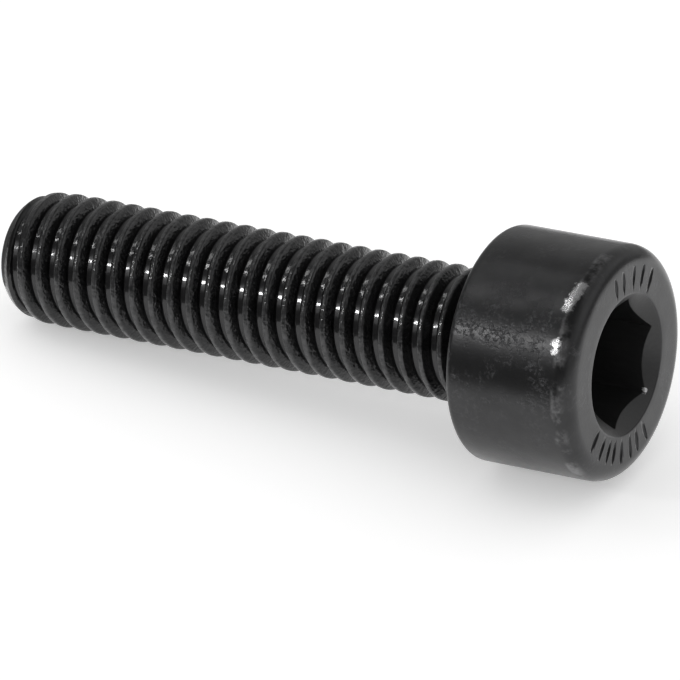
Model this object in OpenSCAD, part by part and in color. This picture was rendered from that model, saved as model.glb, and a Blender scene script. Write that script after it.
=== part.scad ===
// Hex socket cap screw, M5 x 20, fully threaded, lying on its side.
// The screw is built about its own axis: the bearing face under the head is z = 0,
// the head stands above it and the thread hangs below. The last step lays it down
// on the edge of its head and the crest of its thread, which is how it comes to rest.

/* [Head] */
// Diameter of the head
head_d = 8.5; // [7:0.1:12]
// Height of the head
head_h = 5; // [4:0.1:8]
// Rounding of the edge round the top of the head
rim_r = 0.65; // [0.2:0.05:1]
// Rounding of the edge round the bearing face
foot_r = 0.25; // [0.1:0.05:0.6]
// Rounding in the corner between the neck and the head
fillet_r = 0.3; // [0.1:0.05:0.4]

/* [Socket] */
// Width of the hexagon across its flats
socket_af = 4.05; // [3:0.05:5]
// Depth of the flats below the top of the head
socket_depth = 2.5; // [1.5:0.1:3]
// Turn of the hexagon about the screw's axis, in degrees
socket_turn = 40; // [0:1:59]
// Full angle of the cone at the bottom of the socket, in degrees
floor_angle = 130; // [100:5:170]
// Width of the ledge round the cone at the bottom of the socket
floor_ledge = 0.1; // [0.05:0.05:0.5]
// How much wider the countersunk mouth is than the hexagon's corners, on the diameter
mouth_over = 0.5; // [0.1:0.05:0.8]
// Full angle of the countersink, in degrees
mouth_angle = 100; // [90:5:150]

/* [Thread] */
// Nominal diameter of the thread
thread_d = 5; // [4:0.1:6]
// How much the crests stay under the nominal diameter, on the diameter
crest_allowance = 0.1; // [0.02:0.01:0.2]
// Pitch of the thread
pitch = 0.8; // [0.6:0.05:1]
// Length of the shank, from the bearing face to the end of the point
shank_len = 20; // [10:1:40]
// Length of plain neck between the thread and the head
neck_len = 0.4; // [0.3:0.05:3]
// Turns over which the thread grows to its full height at the point
lead_turns = 1; // [0.5:0.25:1.5]
// Turns over which the thread sinks to the neck
runout_turns = 0.5; // [0.25:0.25:1]
// Chamfer round the end of the point
point_chamfer = 0.2; // [0.1:0.05:0.6]
// Flat steps in each turn of the thread
turn_steps = 36; // [24:12:48]

/* [Hidden] */
$fn = 96;

// ISO metric profile: the flanks stand at 60 degrees to each other
flank_angle = 30;
full_depth = 0.6134 * pitch;
crest_r = (thread_d - crest_allowance) / 2;
thread_depth = full_depth - crest_allowance / 2;
root_r = crest_r - thread_depth;
crest_w = pitch / 8 + crest_allowance * tan(flank_angle);
ridge_w = crest_w + 2 * thread_depth * tan(flank_angle);

// The neck keeps the diameter of the blank, which is the pitch diameter
neck_r = thread_d / 2 - 0.3248 * pitch;

// The point is a short round collar, a hair wider than the thread's root
hair = 0.01;
collar_len = 0.06;
collar_r = root_r + hair;
point_r = collar_r - point_chamfer;
collar_top = point_chamfer + collar_len - shank_len;

// The helix, counted in steps from the end of the ridge at the point
step_rise = pitch / turn_steps;
first_z = collar_top + hair + ridge_w / 2;
lead_steps = round(lead_turns * turn_steps);
runout_steps = round(runout_turns * turn_steps);
meet_step = floor((-neck_len - ridge_w / 2 - first_z) / step_rise);
last_step = meet_step + ceil(ridge_w / step_rise) + 1;
buried_r = neck_r - 2 * hair;
core_low = collar_top - collar_len / 2;
core_top = neck_len;

// Head and socket
head_r = head_d / 2;
corner_r = socket_af / 2 / cos(30);
mouth_r = corner_r + mouth_over / 2;
mouth_slope = tan(mouth_angle / 2);
floor_r = socket_af / 2 - floor_ledge;
floor_drop = floor_r / tan(floor_angle / 2);
over = 0.5;
seam_turn = 2.77;

// Rest: the line of the floor touches the first full crest and the edge under the head.
// The flat between two steps of the thread lies on the floor, and not one of its corners
touch_r = crest_r * cos(180 / turn_steps);
touch_z = first_z + (lead_steps - 1) * step_rise - crest_w / 2;
edge_run = foot_r - touch_z;
edge_rise = head_r - foot_r - touch_r;
rest_tilt = atan2(edge_rise, edge_run) + asin(foot_r / norm([edge_run, edge_rise]));
rest_lift = touch_r * cos(rest_tilt) - touch_z * sin(rest_tilt);
rim_x = (head_h - rim_r) * cos(rest_tilt) + (head_r - rim_r) * sin(rest_tilt) + rim_r;
point_x = -shank_len * cos(rest_tilt) - point_r * sin(rest_tilt);

// Radius of the ridge's top at one step: it grows at the point and sinks at the neck
function ridge_r(i) =
    let (grown = root_r + thread_depth * (i + 1) / lead_steps,
         sunk = buried_r + (crest_r - buried_r) * (meet_step - i) / runout_steps)
    min(crest_r, grown, max(buried_r, sunk));

// A point of the thread, at one step, radius and offset along the axis
function on_turn(i, r, z) =
    let (angle = 360 * (i - lead_steps + 0.5) / turn_steps)
    [r * cos(angle), r * sin(angle), z];

// The four corners of the ridge's section at one step
function ridge_section(i) =
    let (r = ridge_r(i),
         z = first_z + i * step_rise,
         top = crest_w / 2 + (crest_r - r) * tan(flank_angle))
    [on_turn(i, root_r, z - ridge_w / 2), on_turn(i, r, z - top),
     on_turn(i, r, z + top), on_turn(i, root_r, z + ridge_w / 2)];

// Right-hand thread and its core, as one closed skin
module thread() {
    n = turn_steps;
    m = last_step;
    low = 4 * (m + 1);
    high = low + n;
    points = concat(
        [for (i = [0 : m]) each ridge_section(i)],
        [for (j = [0 : n - 1]) on_turn(j, root_r, core_low)],
        [for (j = [0 : n - 1]) on_turn(m - n + j, root_r, core_top)]
    );
    sides = [for (i = [0 : m - 1], k = [0 : 2])
        let (a = 4 * i + k)
        each [[a, a + 1, a + 5], [a, a + 5, a + 4]]];
    roots = [for (i = [0 : m - n - 1])
        let (a = 4 * i + 3, b = 4 * (i + n))
        [a, b, b + 4, a + 4]];
    start = [[3, 2, 1, 0],
        [low + n - 1, 4 * (n - 1), 4 * n, 3, 0, low]];
    below = [for (j = [0 : n - 2]) [low + j, 4 * j, 4 * j + 4, low + j + 1]];
    last = 4 * m;
    close = last - 4 * n + 3;
    end = [[last, last + 1, last + 2, last + 3],
        [high + 1, close + 4, close, last, last + 3, high]];
    above = [for (j = [1 : n - 1])
        [close + 4 * j, high + j, high + (j + 1) % n, close + 4 * j + 4]];
    caps = [[for (j = [0 : n - 1]) low + j], [for (j = [n - 1 : -1 : 0]) high + j]];
    polyhedron(points, concat(sides, roots, start, below, end, above, caps));
}

// Chamfered end of the shank
module point() {
    rotate_extrude()
        polygon([[0, -shank_len], [point_r, -shank_len], [collar_r, collar_top - collar_len],
                 [collar_r, collar_top], [0, collar_top]]);
}

// Plain neck, with the fillet that runs out into the bearing face
module neck() {
    translate([0, 0, -neck_len])
        cylinder(h = neck_len + over, r = neck_r);
    rotate_extrude()
        difference() {
            translate([neck_r - hair, -fillet_r])
                square([fillet_r + hair, fillet_r + hair]);
            translate([neck_r + fillet_r, -fillet_r])
                circle(fillet_r);
        }
}

// Head before the socket is punched: a cylinder with a well rounded rim.
// Its seam is turned a little away from the line on which the screw lies
module head_blank() {
    rotate([0, 0, seam_turn])
        rotate_extrude()
            union() {
                square([head_r - rim_r, head_h]);
                square([head_r - foot_r, head_h - rim_r]);
                translate([0, foot_r])
                    square([head_r, head_h - rim_r - foot_r]);
                translate([head_r - foot_r, foot_r])
                    circle(foot_r);
                translate([head_r - rim_r, head_h - rim_r])
                    circle(rim_r);
            }
}

// Space of the socket: the hexagon, the cone below it and the countersunk mouth
module socket() {
    translate([0, 0, head_h - socket_depth])
        rotate([0, 0, socket_turn])
            cylinder(h = socket_depth + over, r = corner_r, $fn = 6);
    translate([0, 0, head_h - socket_depth - floor_drop])
        cylinder(h = floor_drop, r1 = 0, r2 = floor_r);
    translate([0, 0, head_h - mouth_r / mouth_slope])
        cylinder(h = mouth_r / mouth_slope + over, r1 = 0, r2 = mouth_r + over * mouth_slope);
}

// Lays the upright screw on its side, with its box centred over the origin
module laid_down() {
    translate([-(rim_x + point_x) / 2, 0, rest_lift])
        rotate([0, 90 - rest_tilt, 0])
            children();
}

module screw() {
    color([0.17, 0.17, 0.18])
        laid_down()
            difference() {
                union() {
                    thread();
                    point();
                    neck();
                    head_blank();
                }
                socket();
            }
}

screw();
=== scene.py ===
# %% [markdown]
# # A hex socket cap screw, M5 x 20, in black oxide
#
# The real screw is made in three blows and a roll: wire is cut to length, its end
# is punched into a round head with a hexagonal socket, and the shank is rolled
# between two grooved dies that press the thread into it. Then it is blackened in a
# hot salt bath and dipped in oil. Nothing on it moves, so the whole screw is one
# piece here as well.
#
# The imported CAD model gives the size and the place. This script replaces its skin
# with a finer one, whose edges and thread are rounded as the tools leave them, and
# gives it the oiled black finish.

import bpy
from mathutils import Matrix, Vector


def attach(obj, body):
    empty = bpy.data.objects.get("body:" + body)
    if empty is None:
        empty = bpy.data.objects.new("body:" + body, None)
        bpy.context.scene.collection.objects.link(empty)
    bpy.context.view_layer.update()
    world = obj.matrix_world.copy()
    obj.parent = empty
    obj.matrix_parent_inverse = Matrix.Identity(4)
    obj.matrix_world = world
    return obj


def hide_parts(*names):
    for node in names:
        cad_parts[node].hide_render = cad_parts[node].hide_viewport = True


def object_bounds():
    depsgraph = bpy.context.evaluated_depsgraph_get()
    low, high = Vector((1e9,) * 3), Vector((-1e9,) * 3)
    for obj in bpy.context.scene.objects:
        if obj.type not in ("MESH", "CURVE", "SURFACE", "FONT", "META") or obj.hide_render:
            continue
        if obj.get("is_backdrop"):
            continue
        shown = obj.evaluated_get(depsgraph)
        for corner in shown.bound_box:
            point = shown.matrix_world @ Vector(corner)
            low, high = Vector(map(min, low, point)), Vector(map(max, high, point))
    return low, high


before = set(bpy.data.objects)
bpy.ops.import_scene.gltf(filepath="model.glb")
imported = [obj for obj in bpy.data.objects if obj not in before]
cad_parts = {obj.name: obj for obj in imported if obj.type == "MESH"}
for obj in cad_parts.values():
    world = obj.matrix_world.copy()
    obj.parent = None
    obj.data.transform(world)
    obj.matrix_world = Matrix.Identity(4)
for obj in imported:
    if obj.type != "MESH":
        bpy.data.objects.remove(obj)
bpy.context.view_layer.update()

# %% Tools
import math
import random

import bmesh
import bpy
import numpy as np
from mathutils import Matrix, Vector

# %% [markdown]
# ## Sizes
#
# A screw of this kind is bought by its standard, so its sizes are known to a tenth
# of a millimetre. They are written here in millimetres, in the screw's own frame:
# its axis is z, the bearing face under the head is at z = 0, the head is above and
# the point is at z = -20. Angles about the axis are in degrees, and the screw lies on
# the side at angle 0.

# %% Sizes in millimetres
HEAD_R = 4.25
HEAD_H = 5.0
RIM_R = 0.65  # rounding of the edge round the face
FOOT_R = 0.25  # rounding of the edge round the bearing face
FILLET_R = 0.3  # rounding in the corner between the neck and the head
SOCKET_HALF = 2.025  # from the axis to a flat of the hexagon
SOCKET_DEPTH = 2.5
SOCKET_TURN = 40  # angle of the hexagon's first corner
MOUTH_R = 2.588  # outer edge of the countersink
PITCH = 0.8
SHANK = 20.0
CREST_R = 2.45
ROOT_R = 2.009
NECK_R = 2.24
POINT_R = 1.85  # where the rounding of the point begins
CREST_AT = -18.608  # height of the first full crest, at angle 0
print("shank:", SHANK, "mm long,", round(SHANK / PITCH), "pitches")

# %% [markdown]
# ## How it lies
#
# Dropped on a table, a cap screw falls on its side and rests on two spots: the edge
# under its wide head and the first full crest of its thread. Its axis then slopes a
# little, head up. One could model it lying down, but every ring of a turned part is
# simplest about its own axis, so it is built upright and one matrix lays it down.

# %% Lay the screw down
TILT = math.radians(5.45805)
SHIFT, LIFT = 7.37983, 4.20809
laid = (Matrix.Translation((SHIFT / 1000, 0, LIFT / 1000))
        @ Matrix.Rotation(math.pi / 2 - TILT, 4, "Y")
        @ Matrix.Scale(0.001, 4))
print("the point is at", [round(1000 * v, 2) for v in laid @ Vector((0, 0, -SHANK))])

# %% [markdown]
# ## Camera
#
# The photograph was taken with a long lens from the head's side, thirty degrees
# above the table. A short lens would make the head look swollen beside the thread.
# The place and the lens were found by fitting the screw's outline, so the camera
# needs no shift.

# %% Camera
CAMERA_AT = (0.119995, -0.205792, 0.137690)
CAMERA_TILT, CAMERA_TURN = 60.367, 30.1
LENS_MM = 403.09
lens = bpy.data.cameras.new("camera")
lens.lens = LENS_MM
lens.clip_start, lens.clip_end = 0.01, 20
camera = bpy.data.objects.new("camera", lens)
camera.location = CAMERA_AT
camera.rotation_euler = (math.radians(CAMERA_TILT), 0, math.radians(CAMERA_TURN))
bpy.context.collection.objects.link(camera)
bpy.context.scene.camera = camera
print("camera:", round(camera.location.length, 3), "m away, with a lens of", LENS_MM, "mm")

# %% [markdown]
# ## The thread's section
#
# A metric thread is a 60 degree V wound round the shank. The dies leave a narrow flat
# at the bottom of each root and on top of each crest, with rounded corners. Those
# flats and arcs are what catch the light, as one bright dot in each turn, so the
# section is drawn with all of them, from the middle of one root to the next.
#
# The flat of the root is a little wider here than in the CAD model, and it has
# rounded corners. It is lifted until its flanks lie where they do there.

# %% One pitch of the thread
FLANK = math.radians(30)
FLANK_SLOPE = 1.732  # how fast a flank rises along the axis
CREST_ALLOWANCE = 0.05  # how far the crests stay under the nominal radius
CREST_ARC = 0.085
CREST_FLAT = PITCH / 16 + (CREST_ALLOWANCE - CREST_ARC) * math.tan(FLANK)
ROOT_ARC, ROOT_FLAT = 0.03, 0.085
SHARP_ROOT = 0.1155  # rise of a flank over half of the CAD model's root flat
ROOT_LIFT = FLANK_SLOPE * ROOT_FLAT + ROOT_ARC - SHARP_ROOT


def half_section():
    """Points (offset along the axis, radius) from the middle of a root to the crest.

    A row close to each end of a straight part keeps its shading flat.
    """
    low = ROOT_R + ROOT_LIFT
    points = [(-PITCH / 2 + part * ROOT_FLAT, low) for part in (0, 0.8)]
    for a in map(math.radians, (0, 30, 60)):
        w = -PITCH / 2 + ROOT_FLAT + ROOT_ARC * math.sin(a)
        points.append((w, low + ROOT_ARC * (1 - math.cos(a))))
    crest = []
    for a in map(math.radians, (60, 45, 30, 15, 0)):
        w = -CREST_FLAT - CREST_ARC * math.sin(a)
        crest.append((w, CREST_R - CREST_ARC * (1 - math.cos(a))))
    foot, shoulder = points[-1], crest[0]
    for part in (0.15, 0.85):
        points.append(tuple(f + (s - f) * part for f, s in zip(foot, shoulder)))
    return points + crest + [(-0.7 * CREST_FLAT, CREST_R)]


left = half_section()
section = left + [(-w, r) for w, r in reversed(left)][:-1]
rows = len(section)
print(rows, "rows in each pitch")

# %% [markdown]
# ## The shank's skin
#
# Blender's Screw modifier would wind this section into a thread, but it leaves both
# ends cut off. Here the shank is a radius for every angle and height instead: the
# thread, cut down by the rounded cone of the point, and levelled to the plain neck
# where the dies stop short of the head. The grid of the skin follows the helix, so
# the edges of the mesh run along the crests. At each end its last turn shrinks to
# nothing against a flat ring, which closes the spiral without a step.

# %% Radius of the shank
section_w = np.array([w for w, _ in section] + [PITCH / 2])
section_r = np.array([r for _, r in section] + [section[0][1]])
POINT_ROUND = 0.1
POINT_LEAN = math.radians(50)
POINT_EDGE = POINT_ROUND * (1 - math.sin(POINT_LEAN))
POINT_OVER, POINT_TAPER = 0.02, 0.5  # how far the cone ends over the crests, and its length
CUT_ROUND = 0.05  # rounding where the cone cuts the thread
THREAD_END, NECK_START = -1.1, -0.35


def ramp(x, a, b):
    """Smooth step from 0 at a to 1 at b."""
    t = np.clip((x - a) / (b - a), 0, 1)
    return t * t * (3 - 2 * t)


def soft_min(a, b, k):
    """The smaller of two values, rounded over a width of k where they cross."""
    h = np.clip(0.5 + 0.5 * (b - a) / k, 0, 1)
    return b + (a - b) * h - k * h * (1 - h)


def shank_radius(angle, z):
    """Radius at an angle in degrees and a height."""
    w = (z - CREST_AT - PITCH * angle / 360 + PITCH / 2) % PITCH - PITCH / 2
    wide = CREST_R + POINT_OVER
    point = wide - (wide - POINT_R) * np.exp((POINT_EDGE - SHANK - z) / POINT_TAPER)
    body = soft_min(np.interp(w, section_w, section_r), point, CUT_ROUND)
    return body + (NECK_R - body) * ramp(z, THREAD_END, NECK_START)


# %% [markdown]
# The grid climbs one pitch in each turn of 120 steps. Its first angle is a whole
# number of the head's steps away from the hexagon's first corner, so that rings can
# go on from the thread to the socket without a twist.

# %% Steps of the grid
AROUND = 120
STEP = 360 / AROUND
FIRST_ANGLE = -65.0
z_low = CREST_AT + PITCH * (FIRST_ANGLE + 360) / 360 - PITCH / 2 - 2 * PITCH
climb = math.floor((-FILLET_R - z_low) / (PITCH / AROUND))
z_top = z_low + climb * PITCH / AROUND
last = AROUND + climb
share = [(w + PITCH / 2) / PITCH for w, _ in section]
print("grid:", last, "steps, from", round(z_low, 3), "to", round(z_top, 3), "mm")


def boundary(i):
    """Height of the line between two turns, at step i of the helix."""
    return min(max(z_low + PITCH * (i - AROUND) / AROUND, z_low), z_top)


# %% Points of the shank
verts, faces = [], []


def add_vert(angle, r, z):
    """Add a point by its angle in degrees, radius and height, and return its number."""
    a = math.radians(angle)
    verts.append((r * math.cos(a), r * math.sin(a), z))
    return len(verts) - 1


grid = {}
for i in range(last + AROUND):
    angle = FIRST_ANGLE + STEP * i
    low, high = boundary(i), boundary(i + AROUND)
    for k in range(rows if i <= last else 1):
        if i == AROUND and k == 0:
            grid[i, k] = grid[0, 0]
        elif i in (0, last) and k > 0:
            grid[i, k] = grid[i, 0]
        else:
            z = low + (high - low) * share[k]
            grid[i, k] = add_vert(angle, float(shank_radius(angle, z)), z)
for i in range(last):
    grid[i, rows] = grid[i + AROUND, 0]
grid[last, rows] = grid[last, 0]
print("shank:", len(verts), "points")


# %% Faces of the shank
def add_face(*ids):
    """A face without repeated corners, left out if fewer than three are left."""
    ring = [v for n, v in enumerate(ids) if v != ids[n - 1]]
    if len(set(ring)) > 2:
        faces.append(ring)


for i in range(last):
    for k in range(rows):
        add_face(grid[i, k], grid[i + 1, k], grid[i + 1, k + 1], grid[i, k + 1])
print("shank:", len(faces), "faces")

# %% [markdown]
# ## The point
#
# The end of the blank is sheared off and slightly tapered, so that the screw finds
# its hole. A sheared end isn't a perfect flat: it is a shade hollow in the middle,
# with its edge rounded by the tumbling that cleans the blanks.

# %% Rings of the point
HOLLOW = [(1.55, 0.004), (1.15, 0.018), (0.7, 0.03), (0.3, 0.035)]
HOLLOW_DEPTH = 0.036


def bridge(lower, upper):
    """Faces between two rings with the same number of points, the lower one first."""
    n = len(lower)
    for j in range(n):
        add_face(lower[j], lower[(j + 1) % n], upper[(j + 1) % n], upper[j])


def ring(r, z, first, count=AROUND):
    """Add a ring of points, with its first angle."""
    return [add_vert(first + 360 * j / count, r, z) for j in range(count)]


rounding = []
for a in map(math.radians, (50, 63, 76, 90)):
    r = POINT_R - POINT_ROUND * (math.cos(POINT_LEAN) - math.cos(a))
    rounding.append((r, POINT_ROUND * (1 - math.sin(a))))
bottom = [grid[i, 0] for i in range(AROUND)]
for r, z in rounding + HOLLOW:
    lower = ring(r, -SHANK + z, FIRST_ANGLE)
    bridge(lower, bottom)
    bottom = lower
centre = add_vert(0, 0, -SHANK + HOLLOW_DEPTH)
for j in range(AROUND):
    add_face(bottom[(j + 1) % AROUND], bottom[j], centre)
print("with the point:", len(faces), "faces")

# %% [markdown]
# ## Neck and head
#
# Under the head a small fillet spreads the load, and every edge of the head is
# rounded, because the metal flows into the corners of the die without filling them.
# The head is a stack of rings from the neck up to the face. It has twice as many
# points round it as the shank, so that its outline stays smooth in a close view.

# %% Fillet and bearing face
BEARING_R = 3.2  # a ring half way across the bearing face
FOOT_MARGIN = 0.08  # from the last flat ring to the rounding of the edge


def arc(cr, cz, radius, start, stop, count):
    """Points (r, z) on an arc, without its first one."""
    turns = [math.radians(start + (stop - start) * (n + 1) / count) for n in range(count)]
    return [(cr + radius * math.cos(t), cz + radius * math.sin(t)) for t in turns]


FIRST_TOP = FIRST_ANGLE + STEP * last
top = [grid[last + j, 0] for j in range(AROUND)]
for r, z in arc(NECK_R + FILLET_R, -FILLET_R, FILLET_R, 180, 90, 6) + [(BEARING_R, 0)]:
    upper = ring(r, z, FIRST_TOP)
    bridge(top, upper)
    top = upper

DENSE = 2 * AROUND
upper = ring(HEAD_R - FOOT_R - FOOT_MARGIN, 0, FIRST_TOP, DENSE)
for j in range(AROUND):
    a, b = top[j], top[(j + 1) % AROUND]
    u = [upper[(2 * j + n) % DENSE] for n in range(3)]
    faces.extend([[a, u[1], u[0]], [a, b, u[1]], [b, u[2], u[1]]])
top = upper

# %% Side and rim of the head
SIDE_STEPS = 8
outline = [(HEAD_R - FOOT_R, 0)]
outline += arc(HEAD_R - FOOT_R, FOOT_R, FOOT_R, -90, 0, 6)
for n in range(1, SIDE_STEPS + 1):
    outline.append((HEAD_R, FOOT_R + (HEAD_H - RIM_R - FOOT_R) * n / SIDE_STEPS))
outline += arc(HEAD_R - RIM_R, HEAD_H - RIM_R, RIM_R, 0, 90, 12)
for r, z in outline:
    upper = ring(r, z, FIRST_TOP, DENSE)
    bridge(top, upper)
    top = upper
print("with the head's side:", len(faces), "faces")

# %% [markdown]
# ## The socket
#
# The punch leaves a hexagon with slightly rounded corners, a round countersink at
# its mouth and a shallow cone at its bottom. A Boolean would cut it in one step, but
# with knife edges. Here the same rings go on down into the hole: the countersink is
# a cone, the walls are the hexagon, and where the two meet the height follows from
# both, which draws the six scallops of a real socket.

# %% Points round the hexagon
CORNER_R = 0.1
PER_SIDE = DENSE // 6
ARC_STEPS = 3
HALF_CORNER = math.radians(30)


def hexagon_point(q):
    """Point q of the rounded hexagon, counted from the middle of its first corner."""
    side, m = divmod(q % DENSE, PER_SIDE)

    def on_corner(n, part):
        a = math.radians(SOCKET_TURN + 60 * n)
        b = a + math.radians(30 * part)
        far = (SOCKET_HALF - CORNER_R) / math.cos(HALF_CORNER)
        return Vector((far * math.cos(a) + CORNER_R * math.cos(b),
                       far * math.sin(a) + CORNER_R * math.sin(b)))

    if m <= ARC_STEPS:
        return on_corner(side, m / ARC_STEPS)
    if m >= PER_SIDE - ARC_STEPS:
        return on_corner(side + 1, (m - PER_SIDE) / ARC_STEPS)
    t = (m - ARC_STEPS) / (PER_SIDE - 2 * ARC_STEPS)
    return on_corner(side, 1).lerp(on_corner(side + 1, -1), t)


even = [FIRST_TOP + 360 * j / DENSE for j in range(DENSE)]
first_q = round((even[0] - SOCKET_TURN) / (360 / DENSE))
miss = abs(even[0] - SOCKET_TURN - first_q * 360 / DENSE)
print("the grid meets the hexagon's corner within", round(miss, 6), "degrees")

hexagon = [hexagon_point(first_q + j) for j in range(DENSE)]
hex_r = [p.length for p in hexagon]
hex_angle = []
for j, p in enumerate(hexagon):
    away = (math.degrees(math.atan2(p.y, p.x)) - even[j] + 180) % 360 - 180
    hex_angle.append(even[j] + away)

# %% Rings of the face
FACE_RINGS = [3.4, 3.15, 2.9]
SINK = math.radians(50)
EDGE_R = 0.12
edge_run = EDGE_R * math.tan((math.pi / 2 - SINK) / 2)


def next_ring(top, place, mix=1):
    """Add a ring, join it to the last one and return it; place(j) gives (r, z).

    Its angles are the even ones at mix 0, and the hexagon's at mix 1.
    """
    ids = []
    for j in range(DENSE):
        r, z = place(j)
        ids.append(add_vert(even[j] + (hex_angle[j] - even[j]) * mix, r, z))
    bridge(top, ids)
    return ids


for n, r in enumerate(FACE_RINGS + [MOUTH_R + edge_run]):
    top = next_ring(top, lambda j: (r, HEAD_H), (n + 1) / 4)
for n in range(1, 4):
    a = (math.pi / 2 - SINK) * n / 3
    r = MOUTH_R + edge_run - EDGE_R * math.sin(a)
    z = HEAD_H - EDGE_R * (1 - math.cos(a))
    top = next_ring(top, lambda j: (r, z))

# %% Rings of the countersink
SILL_R = 0.06
sill_run = SILL_R * math.tan(SINK / 2)


def sill(j):
    """Height where the countersink meets the wall of the hexagon."""
    return HEAD_H - (MOUTH_R - hex_r[j]) / math.tan(SINK)


top = next_ring(top, lambda j: ((MOUTH_R + hex_r[j]) / 2, (HEAD_H + sill(j)) / 2))
for a in map(math.radians, (130, 142, 155, 168, 180)):
    out_by, up_by = SILL_R * (1 + math.cos(a)), SILL_R * math.sin(a) - sill_run
    top = next_ring(top, lambda j: (hex_r[j] + out_by, sill(j) + up_by))

# %% Rings of the walls
WALL_STEPS = 7
WALL_FOOT_R = 0.07
floor_z = HEAD_H - SOCKET_DEPTH


def on_wall(j, n):
    """Radius and height on the wall, n steps below the countersink."""
    down = (floor_z + WALL_FOOT_R - sill(j) + sill_run) * n / WALL_STEPS
    return hex_r[j], sill(j) - sill_run + down


for n in range(1, WALL_STEPS + 1):
    top = next_ring(top, lambda j: on_wall(j, n))
for a in map(math.radians, (30, 60, 90)):
    in_by, z = WALL_FOOT_R * (1 - math.cos(a)), floor_z + WALL_FOOT_R * (1 - math.sin(a))
    top = next_ring(top, lambda j: (hex_r[j] - in_by, z))

# %% Rings of the bottom
CONE_SLOPE = math.tan(math.radians(65))
CONE_R = 1.925
CONE_ROUND = 0.03
for r in (1.9, 1.4, 0.9, 0.45, 0.15):
    top = next_ring(top, lambda j: (r, floor_z - (CONE_R - r) / CONE_SLOPE))
centre = add_vert(0, 0, floor_z - CONE_R / CONE_SLOPE + CONE_ROUND)
for j in range(DENSE):
    add_face(top[j], top[(j + 1) % DENSE], centre)
print("screw:", len(verts), "points,", len(faces), "faces")

# %% [markdown]
# ## One closed mesh
#
# All rings share their points, so the skin is closed by construction. The narrow
# slivers where the first and last turn of the grid shrink to nothing are merged.

# %% Make the mesh
SAME_POINT, SLIVER = 0.003, 0.0005
mesh = bpy.data.meshes.new("cap_screw")
mesh.from_pydata(verts, [], faces)
skin = bmesh.new()
skin.from_mesh(mesh)
bmesh.ops.remove_doubles(skin, verts=skin.verts, dist=SAME_POINT)
bmesh.ops.dissolve_degenerate(skin, edges=skin.edges, dist=SLIVER)
print("open edges:", sum(len(e.link_faces) != 2 for e in skin.edges))
print("edges between faces that look opposite ways:",
      sum(not e.is_contiguous for e in skin.edges))
print("volume in mm3:", round(skin.calc_volume(signed=True), 1))
skin.to_mesh(mesh)
skin.free()
for polygon in mesh.polygons:
    polygon.use_smooth = True
screw = bpy.data.objects.new("cap_screw", mesh)
bpy.context.collection.objects.link(screw)
print("polygons:", len(mesh.polygons))

# %% [markdown]
# ## Stamped dashes
#
# The punch that forms the socket also stamps the face. Such marks are shallow
# grooves with a round bottom. This part carries plain radial dashes: five on one
# side of the socket and eight on the other. Flat dashes could be painted on, but a
# real groove has a lit and a shaded wall, so small ellipsoids are cut out of the
# face with a Boolean modifier.

# %% Shape the cutter
DASHES = [139 + 12 * n for n in range(5)] + [305 + 10 * n for n in range(8)]
DASH_LONG, DASH_WIDE, DASH_DEEP = 0.78, 0.2, 0.09
DASH_AT = 3.17
DASH_ABOVE = 0.012  # how far the ellipsoid's middle stands above the face
dice = random.Random(5)
cutter = bmesh.new()
for angle in DASHES:
    along = DASH_LONG * dice.uniform(0.92, 1.05) / 2
    turn = Matrix.Rotation(math.radians(angle + dice.uniform(-1.5, 1.5)), 4, "Z")
    middle = (DASH_AT + dice.uniform(-0.03, 0.03), 0, HEAD_H + DASH_ABOVE)
    size = Matrix.Diagonal((along, DASH_WIDE / 2, DASH_DEEP + DASH_ABOVE, 1))
    bmesh.ops.create_uvsphere(cutter, u_segments=32, v_segments=16, radius=1,
                              matrix=turn @ Matrix.Translation(middle) @ size)
cutter_mesh = bpy.data.meshes.new("dash_cutter")
cutter.to_mesh(cutter_mesh)
cutter.free()
cutter_object = bpy.data.objects.new("dash_cutter", cutter_mesh)
bpy.context.collection.objects.link(cutter_object)
print(len(DASHES), "dashes")

# %% Cut the dashes and lay the screw down
cut = screw.modifiers.new("dashes", "BOOLEAN")
cut.operation = "DIFFERENCE"
cut.solver = "EXACT"
cut.object = cutter_object
bpy.context.view_layer.update()
evaluated = screw.evaluated_get(bpy.context.evaluated_depsgraph_get())
finished = bpy.data.meshes.new_from_object(evaluated)
screw.modifiers.clear()
screw.data = finished
finished.name = "cap_screw"
bpy.data.objects.remove(cutter_object)
bpy.data.meshes.remove(mesh)
mesh = finished
mesh.transform(laid)
triangles = sum(len(p.vertices) - 2 for p in mesh.polygons)
print("after the cut:", len(mesh.polygons), "polygons,", triangles, "triangles")

# %% [markdown]
# ## Colours and nodes
#
# A colour picked from a screen is an sRGB number, and Blender calculates with linear
# light, so one function turns the one into the other. Another adds a node together
# with its settings and links, so that each material below reads as a list of nodes.

# %% Helpers for materials
def srgb(text):
    """An sRGB hex colour as the linear numbers that Blender works with."""
    parts = [int(text[n:n + 2], 16) / 255 for n in (1, 3, 5)]
    return [p / 12.92 if p <= 0.04045 else ((p + 0.055) / 1.055) ** 2.4 for p in parts] + [1]


def add(tree, kind, inputs=None, **settings):
    """Add one node. inputs maps a socket's name or number to a value or an output."""
    node = tree.nodes.new(kind)
    for name, value in settings.items():
        setattr(node, name, value)
    for name, value in (inputs or {}).items():
        if isinstance(value, bpy.types.NodeSocket):
            tree.links.new(value, node.inputs[name])
        else:
            node.inputs[name].default_value = value
    return node


def new_material(name):
    """A material, its node tree and its output."""
    material = bpy.data.materials.new(name)
    material.use_nodes = True
    material.node_tree.nodes.clear()
    return material, material.node_tree, add(material.node_tree, "ShaderNodeOutputMaterial")


# %% [markdown]
# The patterns of the finishes are measured on the screw itself: millimetres from its
# own axis and from its bearing face. A Mapping node of the kind "texture" undoes the
# lying down, so that a pattern can follow the radius or the height along the axis.

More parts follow.
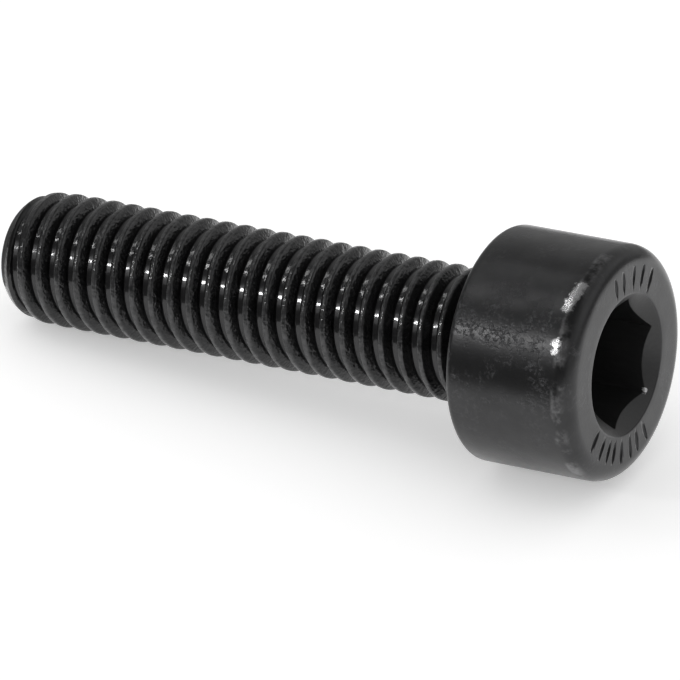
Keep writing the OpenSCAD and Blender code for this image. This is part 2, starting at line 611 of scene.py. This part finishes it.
# %% Place on the screw
def own_place(tree):
    """The place of a point in the screw's own frame, in millimetres."""
    coordinates = add(tree, "ShaderNodeTexCoord")
    return add(tree, "ShaderNodeMapping", {
        "Vector": coordinates.outputs["Object"],
        "Location": (SHIFT / 1000, 0, LIFT / 1000),
        "Rotation": (0, math.pi / 2 - TILT, 0),
        "Scale": (0.001, 0.001, 0.001),
    }, vector_type="TEXTURE").outputs["Vector"]


def own_radius(tree, place):
    """Distance from the screw's axis in millimetres."""
    flat = add(tree, "ShaderNodeVectorMath", {0: place, 1: (1, 1, 0)}, operation="MULTIPLY")
    length = add(tree, "ShaderNodeVectorMath", {0: flat.outputs["Vector"]}, operation="LENGTH")
    return length.outputs["Value"]


# %% [markdown]
# ## Black oxide on the headed surface
#
# Black oxide is magnetite, grown out of the steel itself in a hot salt bath: a layer
# of a thousandth of a millimetre that is nearly black and keeps the texture below it.
# A cold-headed surface is satin, with a fine grain from the lubricant that was
# pressed into it. A film of oil lies on top, which is why the flat face turns lighter
# where it is seen at a low angle. So this is a dark metal under a clear coat. It is
# not all metal: magnetite also scatters a little light, which keeps its shaded side
# from going quite black.
#
# The grain is really 0.02 mm, too fine to show at this size, so it is drawn at
# 0.07 mm. Flecks of 0.16 mm are where other screws have rubbed in the bin: they are
# duller and lighter, and lie in patches. Most of them are kept to the side at 240
# degrees, which faces the lamps and where they glint, so their lighter colour there
# is partly painted highlight. A voronoi pattern would make round dots of them, so a
# finely broken noise is cut off at a level instead.

# %% Noises of the head
MOTTLE_MM, GRAIN_MM, FLECK_MM, PATCH_MM = 1.3, 0.07, 0.16, 1.1
headed, tree, out = new_material("black_oxide_headed")
place = own_place(tree)
mottle = add(tree, "ShaderNodeTexNoise", {
    "Vector": place, "Scale": 1 / MOTTLE_MM, "Detail": 4.0, "Roughness": 0.6})
grain = add(tree, "ShaderNodeTexNoise", {
    "Vector": place, "Scale": 1 / GRAIN_MM, "Detail": 2.0})
patch = add(tree, "ShaderNodeTexNoise", {
    "Vector": place, "Scale": 1 / PATCH_MM, "Detail": 4.0, "Roughness": 0.65})
flecks = add(tree, "ShaderNodeTexNoise", {
    "Vector": place, "Scale": 1 / FLECK_MM, "Detail": 5.0, "Roughness": 0.7,
    "Distortion": 0.4})

# %% Where the flecks lie
# The flecks are kept mostly to the side that faces the lamps, where they glint: rub marks and
# painted highlight.
LAMP_SIDE = (-0.5 / HEAD_R, -0.866 / HEAD_R, 0)  # the side at 240 degrees
fleck = add(tree, "ShaderNodeMapRange", {
    "Value": flecks.outputs[0], "From Min": 0.46, "From Max": 0.68,
}, interpolation_type="SMOOTHSTEP")
where = add(tree, "ShaderNodeMapRange", {
    "Value": patch.outputs[0], "From Min": 0.42, "From Max": 0.62,
}, interpolation_type="SMOOTHSTEP")
side = add(tree, "ShaderNodeVectorMath", {0: place, 1: LAMP_SIDE}, operation="DOT_PRODUCT")
lamp_side_belt = add(tree, "ShaderNodeMapRange", {
    "Value": side.outputs["Value"], "From Min": 0.8, "From Max": 0.97,
    "To Min": 0.3, "To Max": 1.0,
}, interpolation_type="SMOOTHSTEP")
where = add(tree, "ShaderNodeMath", {
    0: where.outputs[0], 1: lamp_side_belt.outputs[0]}, operation="MULTIPLY")
flecks_and_glints = add(tree, "ShaderNodeMath", {
    0: fleck.outputs[0], 1: where.outputs[0]}, operation="MULTIPLY")

# %% [markdown]
# The rim is what rubs first, so the layer is worn thin in a band round it. In two
# patches along it the colour goes nearly white where the lamps glint on the rim:
# these are painted highlights, not knocks of bare steel. The worn band follows the
# height along the axis: it begins where the rounding does. Each glint patch is a few
# round spots, given by angle, height and size, whose edges the noise makes ragged.

# %% Worn rim and painted glints
# Each knock below is a painted highlight: near-white steel where a lamp's glint falls on the
# rim.
GLINT_SPOTS = [(239, 4.27, 0.18), (235.5, 4.29, 0.24)]
GLINT_SPOTS += [(217 - 3 * n, 4.28 + 0.04 * n, 0.26) for n in range(5)]
RAGGED = 0.5  # how strongly the noise moves a knock's edge, in millimetres
height = add(tree, "ShaderNodeSeparateXYZ", {0: place}).outputs[2]
begins = add(tree, "ShaderNodeMapRange", {
    "Value": height, "From Min": 4.22, "From Max": 4.36,
}, interpolation_type="SMOOTHSTEP")
ends = add(tree, "ShaderNodeMapRange", {
    "Value": height, "From Min": 4.55, "From Max": 4.8, "To Min": 1.0, "To Max": 0.0,
}, interpolation_type="SMOOTHSTEP")
band = add(tree, "ShaderNodeMath", {
    0: begins.outputs[0], 1: ends.outputs[0]}, operation="MULTIPLY")
broken = add(tree, "ShaderNodeMapRange", {
    "Value": patch.outputs[0], "From Min": 0.4, "From Max": 0.62, "To Max": 0.24,
}, interpolation_type="SMOOTHSTEP")
worn_rim_and_glints = add(tree, "ShaderNodeMath", {
    0: band.outputs[0], 1: broken.outputs[0]}, operation="MULTIPLY")
for angle, z, size in GLINT_SPOTS:
    a = math.radians(angle)
    away = add(tree, "ShaderNodeVectorMath", {
        0: place, 1: (HEAD_R * math.cos(a), HEAD_R * math.sin(a), z)}, operation="DISTANCE")
    ragged = add(tree, "ShaderNodeMath", {
        0: flecks.outputs[0], 1: RAGGED, 2: away.outputs["Value"]}, operation="MULTIPLY_ADD")
    glint_spot = add(tree, "ShaderNodeMapRange", {
        "Value": ragged.outputs[0], "To Min": 1.0, "To Max": 0.0,
        "From Min": RAGGED / 2 + 0.4 * size, "From Max": RAGGED / 2 + size,
    }, interpolation_type="SMOOTHSTEP")
    worn_rim_and_glints = add(tree, "ShaderNodeMath", {
        0: worn_rim_and_glints.outputs[0], 1: glint_spot.outputs[0]}, operation="MAXIMUM")

# %% Colour of the head
worn = add(tree, "ShaderNodeMapRange", {
    "Value": mottle.outputs[0], "From Min": 0.35, "From Max": 0.7})
layer = add(tree, "ShaderNodeMix", {
    "Factor": worn.outputs[0], "A": srgb("#2c2c2d"), "B": srgb("#373738")}, data_type="RGBA")
# Lighter flecks: rub marks, and painted highlight along the lamp side.
with_flecks = add(tree, "ShaderNodeMix", {
    "Factor": flecks_and_glints.outputs[0], "B": srgb("#545456")}, data_type="RGBA")
tree.links.new(layer.outputs[2], with_flecks.inputs[6])
# Near-white where the rim is worn, and painted highlights at the glint patches.
colour = add(tree, "ShaderNodeMix", {
    "Factor": worn_rim_and_glints.outputs[0], "B": srgb("#d8d8d9")}, data_type="RGBA")
tree.links.new(with_flecks.outputs[2], colour.inputs[6])

# %% Roughness and relief of the head
GRAIN_DEEP = 0.000004  # in metres
rough = add(tree, "ShaderNodeMapRange", {
    "Value": mottle.outputs[0], "From Min": 0.3, "From Max": 0.7,
    "To Min": 0.36, "To Max": 0.28})
rough = add(tree, "ShaderNodeMath", {
    0: flecks_and_glints.outputs[0], 1: 0.14, 2: rough.outputs[0]}, operation="MULTIPLY_ADD")
rough = add(tree, "ShaderNodeMath", {
    0: worn_rim_and_glints.outputs[0], 1: -0.1, 2: rough.outputs[0]}, operation="MULTIPLY_ADD")
relief = add(tree, "ShaderNodeMath", {
    0: flecks_and_glints.outputs[0], 1: -2.5, 2: grain.outputs[0]}, operation="MULTIPLY_ADD")
bump = add(tree, "ShaderNodeBump", {
    "Height": relief.outputs[0], "Strength": 0.6, "Distance": GRAIN_DEEP})
steel = add(tree, "ShaderNodeBsdfPrincipled", {
    "Base Color": colour.outputs[2], "Metallic": 0.85, "Roughness": rough.outputs[0],
    "Normal": bump.outputs[0], "Coat Weight": 0.6, "Coat Roughness": 0.26,
    "Coat Normal": bump.outputs[0],
})
tree.links.new(steel.outputs[0], out.inputs[0])
print(headed.name, "has", len(tree.nodes), "nodes")

# %% [markdown]
# ## Black oxide in the punched socket
#
# The punch shears the socket's walls, and nothing burnishes them afterwards, so they
# are rougher, and the salt and oil that stay in the hole leave a dull black film. It
# is half metal to the eye, with a little light of its own colour. A near-white spot
# at one corner of the mouth is a painted highlight, where a glint shows.

# %% Black oxide, punched
SHEAR_MM, SHEAR_DEEP = 0.12, 0.000008  # the depth in metres
GLINT_R, GLINT_Z = 2.31, 4.79
punched, tree, out = new_material("black_oxide_punched")
place = own_place(tree)
stretched = add(tree, "ShaderNodeVectorMath", {
    0: place, 1: (1, 1, 0.15)}, operation="MULTIPLY")
shear = add(tree, "ShaderNodeTexNoise", {
    "Vector": stretched.outputs["Vector"], "Scale": 1 / SHEAR_MM, "Detail": 3.0})
layer = add(tree, "ShaderNodeMix", {
    "Factor": shear.outputs[0], "A": srgb("#222223"), "B": srgb("#303030")}, data_type="RGBA")
# A near-white spot at the mouth's first corner is a painted highlight, not a knock.
a = math.radians(SOCKET_TURN)
away = add(tree, "ShaderNodeVectorMath", {
    0: place, 1: (GLINT_R * math.cos(a), GLINT_R * math.sin(a), GLINT_Z)}, operation="DISTANCE")
ragged = add(tree, "ShaderNodeMath", {
    0: shear.outputs[0], 1: 0.6, 2: away.outputs["Value"]}, operation="MULTIPLY_ADD")
glint_spot = add(tree, "ShaderNodeMapRange", {
    "Value": ragged.outputs[0], "From Min": 0.34, "From Max": 0.42,
    "To Min": 1.0, "To Max": 0.0,
}, interpolation_type="SMOOTHSTEP")
colour = add(tree, "ShaderNodeMix", {
    "Factor": glint_spot.outputs[0], "B": srgb("#d0d0d1")}, data_type="RGBA")
tree.links.new(layer.outputs[2], colour.inputs[6])
bump = add(tree, "ShaderNodeBump", {
    "Height": shear.outputs[0], "Strength": 0.6, "Distance": SHEAR_DEEP})
steel = add(tree, "ShaderNodeBsdfPrincipled", {
    "Base Color": colour.outputs[2], "Metallic": 0.5, "Roughness": 0.42,
    "Normal": bump.outputs[0], "Coat Weight": 0.5, "Coat Roughness": 0.35,
    "Coat Normal": bump.outputs[0],
})
tree.links.new(steel.outputs[0], out.inputs[0])
print(punched.name, "has", len(tree.nodes), "nodes")

# %% [markdown]
# ## Black oxide on the rolled thread
#
# The dies burnish what they roll, so the thread is smoother than the head, and the
# oil gathers in its roots: it looks wet. The crests are what rubs against other
# screws, so they are a little lighter and duller. The oil's film is uneven over a
# quarter of a millimetre, which breaks up the reflections along each turn.

# %% Noises and radius of the thread
OIL_MM, SPECK_MM = 0.25, 0.12
rolled, tree, out = new_material("black_oxide_rolled_oiled")
place = own_place(tree)
oil = add(tree, "ShaderNodeTexNoise", {
    "Vector": place, "Scale": 1 / OIL_MM, "Detail": 3.0})
speck = add(tree, "ShaderNodeTexNoise", {
    "Vector": place, "Scale": 1 / SPECK_MM, "Detail": 2.0})
radius = own_radius(tree, place)
rubbed = add(tree, "ShaderNodeMapRange", {
    "Value": radius, "From Min": 2.36, "From Max": 2.44})
above_oil = add(tree, "ShaderNodeMapRange", {
    "Value": radius, "From Min": 2.06, "From Max": 2.16})

# %% Black oxide, rolled and oiled
OIL_DEEP = 0.00004  # in metres
patchy = add(tree, "ShaderNodeMapRange", {
    "Value": oil.outputs[0], "From Min": 0.35, "From Max": 0.6})
wear = add(tree, "ShaderNodeMath", {
    0: rubbed.outputs[0], 1: patchy.outputs[0]}, operation="MULTIPLY")
colour = add(tree, "ShaderNodeMix", {
    "Factor": wear.outputs[0], "A": srgb("#2a2a2b"), "B": srgb("#4a4a4b")}, data_type="RGBA")
rough = add(tree, "ShaderNodeMapRange", {
    "Value": rubbed.outputs[0], "To Min": 0.28, "To Max": 0.45})
relief = add(tree, "ShaderNodeMath", {
    0: speck.outputs[0], 1: 0.9, 2: oil.outputs[0]}, operation="MULTIPLY_ADD")
relief = add(tree, "ShaderNodeMath", {
    0: relief.outputs[0], 1: above_oil.outputs[0]}, operation="MULTIPLY")
bump = add(tree, "ShaderNodeBump", {
    "Height": relief.outputs[0], "Strength": 0.6, "Distance": OIL_DEEP})
steel = add(tree, "ShaderNodeBsdfPrincipled", {
    "Base Color": colour.outputs[2], "Metallic": 0.9, "Roughness": rough.outputs[0],
    "Normal": bump.outputs[0], "Coat Weight": 0.9, "Coat Roughness": 0.06,
    "Coat Normal": bump.outputs[0],
})
tree.links.new(steel.outputs[0], out.inputs[0])
print(rolled.name, "has", len(tree.nodes), "nodes")

# %% [markdown]
# ## Which face has which finish
#
# The rolled finish starts where the dies started, in the corner under the head, and
# the punched one is everything inside the socket's mouth. The screw is one mesh, so
# each polygon is given the number of its material by its place on the upright screw.
# Three objects would leave seams.

# %% Give each face its finish
HEADED, ROLLED, PUNCHED = range(3)
ROLLED_BELOW = -0.32
MOUTH_EDGE = 0.03  # how far inside the countersink's edge the punched finish starts
mesh.materials.clear()
for material in (headed, rolled, punched):
    mesh.materials.append(material)
upright = laid.inverted()
count = [0, 0, 0]
for polygon in mesh.polygons:
    polygon.use_smooth = True
    spot = upright @ polygon.center
    inside = spot.z > 1 and math.hypot(spot.x, spot.y) < MOUTH_R - MOUTH_EDGE
    number = ROLLED if spot.z < ROLLED_BELOW else PUNCHED if inside else HEADED
    polygon.material_index = number
    count[number] += 1
print("headed, rolled and punched faces:", count)

# %% [markdown]
# ## Floor
#
# The screw lies on white paper. The paper is lit by the lamps and keeps the screw's
# shadow. It also glows slightly in reflections, and a little more towards the camera,
# so that it comes out as white as the background of a catalogue picture without more
# light on the screw.

# %% White floor
FLOOR_HALF = 3
PAPER_GLOW, CAMERA_GLOW = 0.23, 0.12
corners = [(-1, -1), (1, -1), (1, 1), (-1, 1)]
floor_mesh = bpy.data.meshes.new("floor")
floor_points = [(FLOOR_HALF * x, FLOOR_HALF * y, 0) for x, y in corners]
floor_mesh.from_pydata(floor_points, [], [(0, 1, 2, 3)])
floor = bpy.data.objects.new("floor", floor_mesh)
bpy.context.collection.objects.link(floor)
pale, tree, out = new_material("white_paper")
diffuse = add(tree, "ShaderNodeBsdfDiffuse", {"Color": srgb("#f2f2f2")})
path = add(tree, "ShaderNodeLightPath")
seen = add(tree, "ShaderNodeMath", {
    0: path.outputs["Is Camera Ray"], 1: path.outputs["Is Glossy Ray"]}, operation="MAXIMUM")
seen = add(tree, "ShaderNodeMath", {
    0: seen.outputs[0], 1: path.outputs["Is Transmission Ray"]}, operation="MAXIMUM")
strength = add(tree, "ShaderNodeMath", {
    0: seen.outputs[0], 1: PAPER_GLOW}, operation="MULTIPLY")
strength = add(tree, "ShaderNodeMath", {
    0: path.outputs["Is Camera Ray"], 1: CAMERA_GLOW, 2: strength.outputs[0],
}, operation="MULTIPLY_ADD")
glow = add(tree, "ShaderNodeEmission", {
    "Color": srgb("#ffffff"), "Strength": strength.outputs[0]})
both = add(tree, "ShaderNodeAddShader", {0: diffuse.outputs[0], 1: glow.outputs[0]})
tree.links.new(both.outputs[0], out.inputs[0])
floor_mesh.materials.append(pale)
floor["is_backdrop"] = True
print("floor:", 2 * FLOOR_HALF, "m wide")

# %% [markdown]
# ## Room light
#
# The world stands for the white walls of a small studio. Light Path makes it plain
# white where the camera or a reflection looks at it, and a little dimmer as a light.

# %% World
ROOM_LIGHT = 0.75
world = bpy.data.worlds.new("studio")
bpy.context.scene.world = world
world.use_nodes = True
tree = world.node_tree
tree.nodes.clear()
out = add(tree, "ShaderNodeOutputWorld")
path = add(tree, "ShaderNodeLightPath")
seen = add(tree, "ShaderNodeMath", {
    0: path.outputs["Is Camera Ray"], 1: path.outputs["Is Glossy Ray"]}, operation="MAXIMUM")
seen = add(tree, "ShaderNodeMath", {
    0: seen.outputs[0], 1: path.outputs["Is Transmission Ray"]}, operation="MAXIMUM")
level = add(tree, "ShaderNodeMapRange", {
    "Value": seen.outputs[0], "To Min": ROOM_LIGHT, "To Max": 1.0})
sky = add(tree, "ShaderNodeBackground", {
    "Color": srgb("#ffffff"), "Strength": level.outputs[0]})
tree.links.new(sky.outputs[0], out.inputs[0])
print("the room lights at", ROOM_LIGHT)

# %% [markdown]
# ## Cloths round the table
#
# A dark shiny screw shows little but what it reflects. In a white room it would look
# grey all over, so a photographer hangs black and grey cloths round the table: black
# ones above and towards the camera's left, which give the dark bands between the
# lamps, grey ones behind, and pale ones on the right, for the rim of the head. They
# are half a ball with a radius of one metre, and only reflections see them. Three
# more lie on the table. The one in front of the screw ends the reflection of the
# white paper on the lower half of each turn, the one beside the point keeps its edge
# dark, and the one far behind darkens the topmost flanks.

# %% Cloths
def cloth_material(name, strength):
    """Cloth of one even brightness."""
    material, tree, out = new_material(name)
    dull = add(tree, "ShaderNodeEmission", {"Color": srgb("#ffffff"), "Strength": strength})
    tree.links.new(dull.outputs[0], out.inputs[0])
    return material


BLACK, DARK_GREY, GREY, PALE_GREY = range(4)
cloths = [cloth_material("black_cloth", 0.11), cloth_material("dark_grey_cloth", 0.22),
          cloth_material("grey_cloth", 0.4), cloth_material("pale_grey_cloth", 0.6)]


def hang(name, points, polygons, materials, numbers):
    """A cloth that only reflections see, with the number of each polygon's material."""
    cloth_mesh = bpy.data.meshes.new(name)
    cloth_mesh.from_pydata(points, [], polygons)
    for material in materials:
        cloth_mesh.materials.append(material)
    for polygon, number in zip(cloth_mesh.polygons, numbers):
        polygon.material_index = number
    cloth = bpy.data.objects.new(name, cloth_mesh)
    bpy.context.collection.objects.link(cloth)
    cloth.visible_camera = cloth.visible_diffuse = cloth.visible_shadow = False
    cloth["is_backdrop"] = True
    print(name, "has", len(polygons), "polygons")


# %% [markdown]
# The ball is cut into rows of five degrees, from the table up. Each side of it is a
# list of cloths, with the row at which each one stops.

# %% Hang the cloths round the table
ROW = 5
LOWEST = 0.2  # degrees above the table, so that no cloth touches the floor
TOWARDS_CAMERA_LEFT = [(18, BLACK)]
RIGHT = [(3, DARK_GREY), (9, PALE_GREY), (14, GREY), (18, BLACK)]
ELSEWHERE = [(9, GREY), (13, DARK_GREY), (18, BLACK)]


def direction(elevation, azimuth):
    """Unit vector from the screw, by two angles in degrees."""
    e, a = math.radians(elevation), math.radians(azimuth)
    return Vector((math.cos(e) * math.cos(a), math.cos(e) * math.sin(a), math.sin(e)))


def cloth_number(row, azimuth):
    """Which cloth hangs in a row, at an azimuth."""
    side = ELSEWHERE
    if 175 < azimuth < 320:
        side = TOWARDS_CAMERA_LEFT
    elif azimuth < 65 or azimuth > 350:
        side = RIGHT
    return next(number for stop, number in side if row < stop)


points = [direction(max(e, LOWEST), a) for e in range(0, 91, ROW) for a in range(0, 360, ROW)]
ACROSS = 360 // ROW
polygons, numbers = [], []
for n in range(90 // ROW):
    for m in range(ACROSS):
        a, b = ACROSS * n + m, ACROSS * n + (m + 1) % ACROSS
        polygons.append((a, b, b + ACROSS, a + ACROSS))
        numbers.append(cloth_number(n, ROW * (m + 0.5)))
hang("cloths", points, polygons, cloths, numbers)

# %% Lay the cloths on the table
CLOTH_UP = 0.00002  # metres above the floor


def lay(name, outline):
    """A black cloth on the table, by the corners of its outline."""
    polygon = tuple(range(len(outline)))
    hang(name, [(x, y, CLOTH_UP) for x, y in outline], [polygon], [cloths[BLACK]], [0])


lay("table_cloth", [(-0.6, 0), (-0.6, -0.6), (0.02, -0.6),
                    (0.014, -0.022), (-0.012, -0.014), (-0.05, -0.0005)])
lay("side_table_cloth", [(-0.6, -0.0005), (-0.0145, -0.0005), (-0.0145, 0.02), (-0.6, 0.3)])
lay("far_table_cloth", [(-0.6, 0.045), (0.6, 0.045), (0.6, 0.6), (-0.6, 0.6)])

# %% [markdown]
# ## Lamps
#
# A wide soft box on the left makes the lit band along the head. The small bulb in its
# middle is the bright dot in each turn of the thread and the glint on the head's rim,
# and two long thin lamps above draw the streaks over the crests. Most places follow
# from those glints: a lamp stands where the surface under its glint mirrors the
# camera's line of sight. An area lamp's power spreads over its face, so each is given
# by the brightness of that face, and the size can change without a new setting.

# %% Lamps
def lamp(name, elevation, azimuth, wide, tall, radiance, lean=0, distance=0.5):
    """A rectangular lamp that faces the screw, with its place as it is seen from the screw."""
    light = bpy.data.lights.new(name, "AREA")
    light.shape = "RECTANGLE"
    light.size, light.size_y = wide, tall
    light.energy = math.pi * wide * tall * radiance
    thing = bpy.data.objects.new(name, light)
    thing.location = direction(elevation, azimuth) * distance
    facing = thing.location.to_track_quat("Z", "Y").to_matrix()
    thing.rotation_euler = (facing @ Matrix.Rotation(math.radians(lean), 3, "Z")).to_euler()
    bpy.context.collection.objects.link(thing)
    print(name, "watts", round(light.energy, 2))


lamp("soft_box", 25, -126, 0.3, 0.2, 0.55, distance=0.52)
lamp("bulb", 28, -127, 0.038, 0.026, 60)
lamp("top_lamp", 53, -157, 0.007, 0.15, 22, lean=40)
lamp("back_lamp", 55, 168, 0.22, 0.012, 5)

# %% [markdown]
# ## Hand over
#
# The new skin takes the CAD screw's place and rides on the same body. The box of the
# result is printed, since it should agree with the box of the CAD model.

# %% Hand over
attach(screw, "root")
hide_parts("screw")
view = bpy.context.scene.view_settings
view.view_transform = "Standard"

low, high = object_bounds()
print("visual box in mm:", [round(1000 * v, 3) for v in (*low, *high)])
